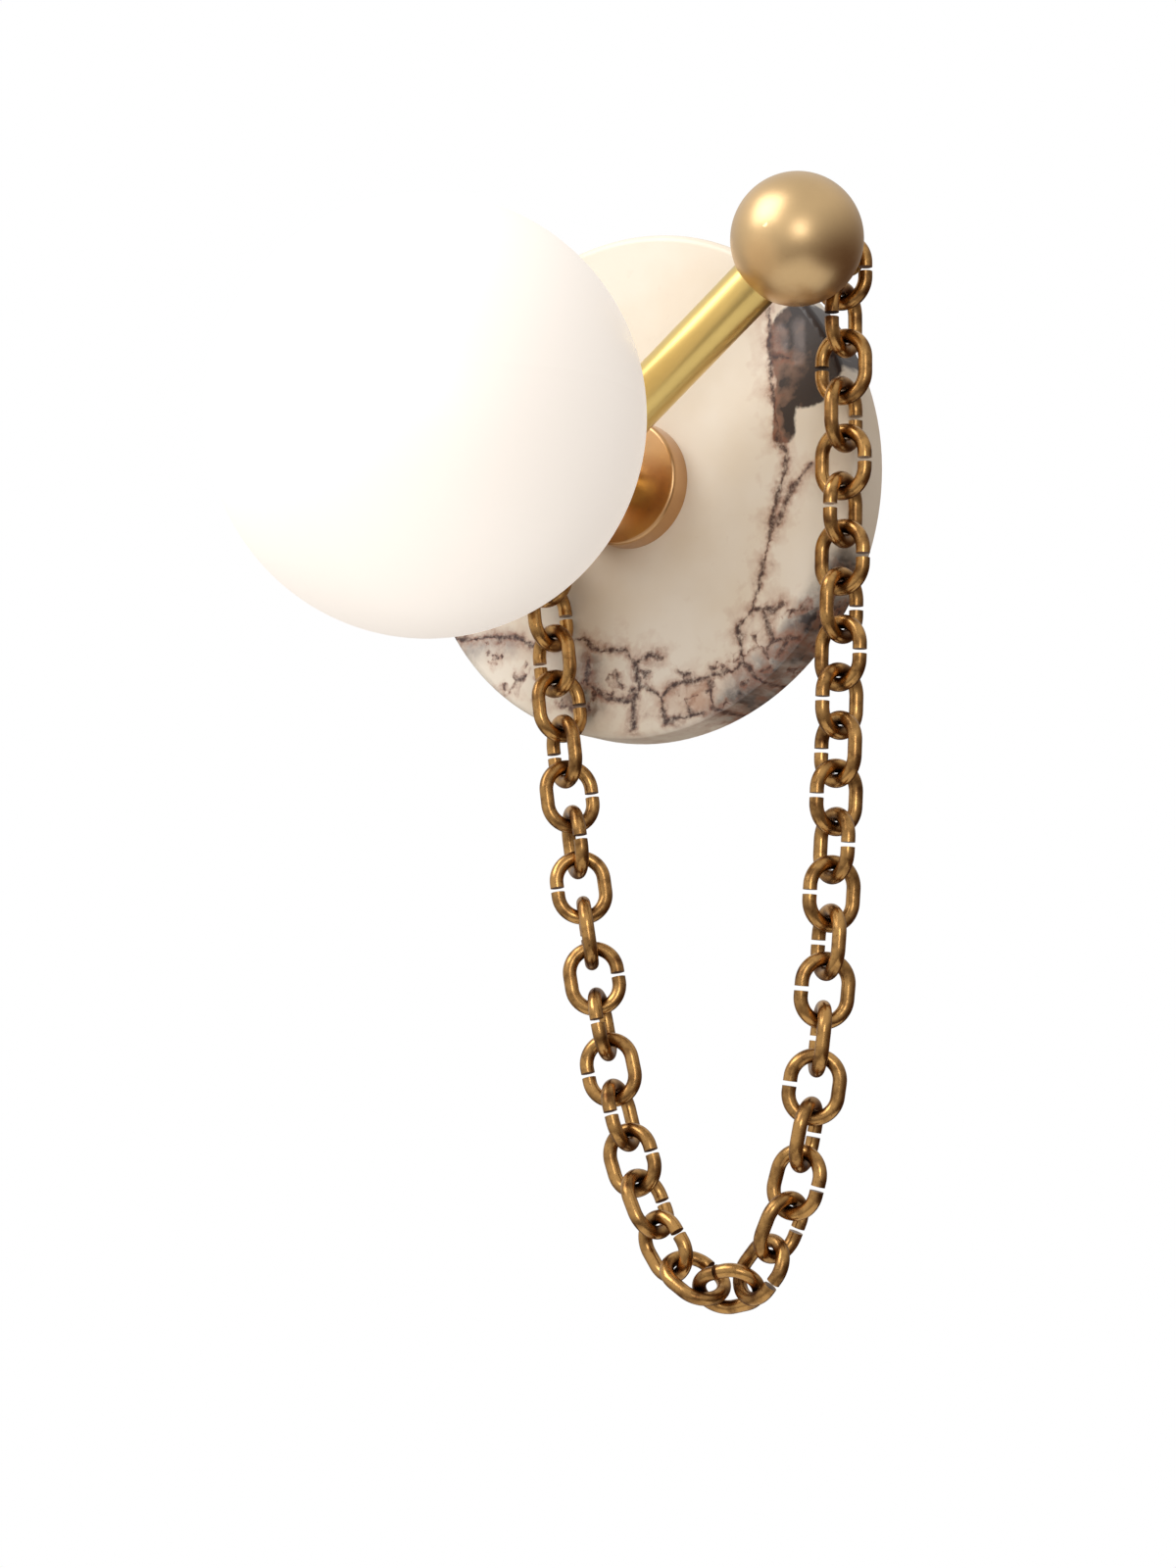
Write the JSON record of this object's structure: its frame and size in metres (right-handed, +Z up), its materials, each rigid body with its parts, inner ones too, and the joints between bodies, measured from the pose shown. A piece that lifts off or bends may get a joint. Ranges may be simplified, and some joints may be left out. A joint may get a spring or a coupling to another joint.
{
  "type": "hanging pendant wall sconce",
  "caption": "Wall sconce with a round marble backplate, a slanted brass arm with ball ends, a frosted glass globe in front and a looped open-link chain hanging below.",
  "frame": {"origin": "centre of the backplate's rear face, on the wall, midway between the two wall screws", "axes": "+Z up, +Y into the wall, +X to the right as the viewer sees it; the light faces -Y"},
  "size_m": [0.2251, 0.246, 0.4265],
  "materials": {
    "marble": "honed cream marble with dark purple-brown veins",
    "satin_brass": "satin brushed",
    "chain_brass": "antiqued, darker in the hollows",
    "opal_glass": "frosted opal",
    "zinc_steel": "zinc plated",
    "seal_rubber": "matt",
    "holder_ceramic": "glazed",
    "contact_brass": "bright",
    "lamp_ceramic": "matt",
    "pin_metal": "bright",
    "lamp_glass": "clear",
    "terminal_plastic": "matt"
  },
  "bodies": {
    "fixture": {"arm_lock_screw": "zinc_steel", "arm_rod": "satin_brass", "bracket_nut": "zinc_steel", "chain_link_01_02": "chain_brass", "chain_link_39_40": "chain_brass", "collar": "satin_brass", "cross_hub": "satin_brass", "cup_nut": "zinc_steel", "cup_tube": "zinc_steel", "earth_screw": "zinc_steel", "globe_cup": "satin_brass", "globe_gasket": "seal_rubber", "lampholder": "holder_ceramic", "lampholder_contacts": "contact_brass", "lower_ball": "satin_brass", "lower_ball_stud": "zinc_steel", "lower_chain_pin": "satin_brass", "marble_backplate": "marble", "plate_nut": "zinc_steel", "plate_washer": "zinc_steel", "stem_tube": "satin_brass", "terminal_block": "terminal_plastic", "terminal_screws": "contact_brass", "threaded_tube": "zinc_steel", "upper_ball": "satin_brass", "upper_ball_stud": "zinc_steel", "upper_chain_pin": "satin_brass", "wall_bracket": "zinc_steel"},
    "chain": {"chain_link_03_04": "chain_brass", "chain_link_05_06": "chain_brass", "chain_link_07_08": "chain_brass", "chain_link_09_10": "chain_brass", "chain_link_11_12": "chain_brass", "chain_link_13_14": "chain_brass", "chain_link_15_16": "chain_brass", "chain_link_17_18": "chain_brass", "chain_link_19_20": "chain_brass", "chain_link_21_22": "chain_brass", "chain_link_23_24": "chain_brass", "chain_link_25_26": "chain_brass", "chain_link_27_28": "chain_brass", "chain_link_29_30": "chain_brass", "chain_link_31_32": "chain_brass", "chain_link_33_34": "chain_brass", "chain_link_35_36": "chain_brass", "chain_link_37_38": "chain_brass"},
    "globe": {"glass_globe": "opal_glass"},
    "lamp": {"lamp_base": "lamp_ceramic", "lamp_envelope": "lamp_glass", "lamp_pins": "pin_metal"},
    "globe_screw_1": {"globe_screw_1": "satin_brass"},
    "globe_screw_2": {"globe_screw_2": "satin_brass"},
    "globe_screw_3": {"globe_screw_3": "satin_brass"}
  },
  "joints": [
    {"name": "chain_swing", "type": "hinge", "parent": "fixture", "child": "chain", "pos_m": [0.03521, -0.0325, -0.00783], "axis": [-0.8152, 0, -0.5791], "range_deg": [-1, 18]},
    {"name": "globe_off", "type": "slide", "parent": "fixture", "child": "globe", "axis": [0, -1, 0], "range_m": [0, 0.08]},
    {"name": "lamp_pull", "type": "slide", "parent": "fixture", "child": "lamp", "axis": [0, -1, 0], "range_m": [0, 0.02]},
    {"name": "globe_screw_1_out", "type": "slide", "parent": "fixture", "child": "globe_screw_1", "axis": [0.866, 0, 0.5], "range_m": [0, 0.0025]},
    {"name": "globe_screw_2_out", "type": "slide", "parent": "fixture", "child": "globe_screw_2", "axis": [-0.866, 0, 0.5], "range_m": [0, 0.0025]},
    {"name": "globe_screw_3_out", "type": "slide", "parent": "fixture", "child": "globe_screw_3", "axis": [0, 0, -1], "range_m": [0, 0.0025]}
  ]
}
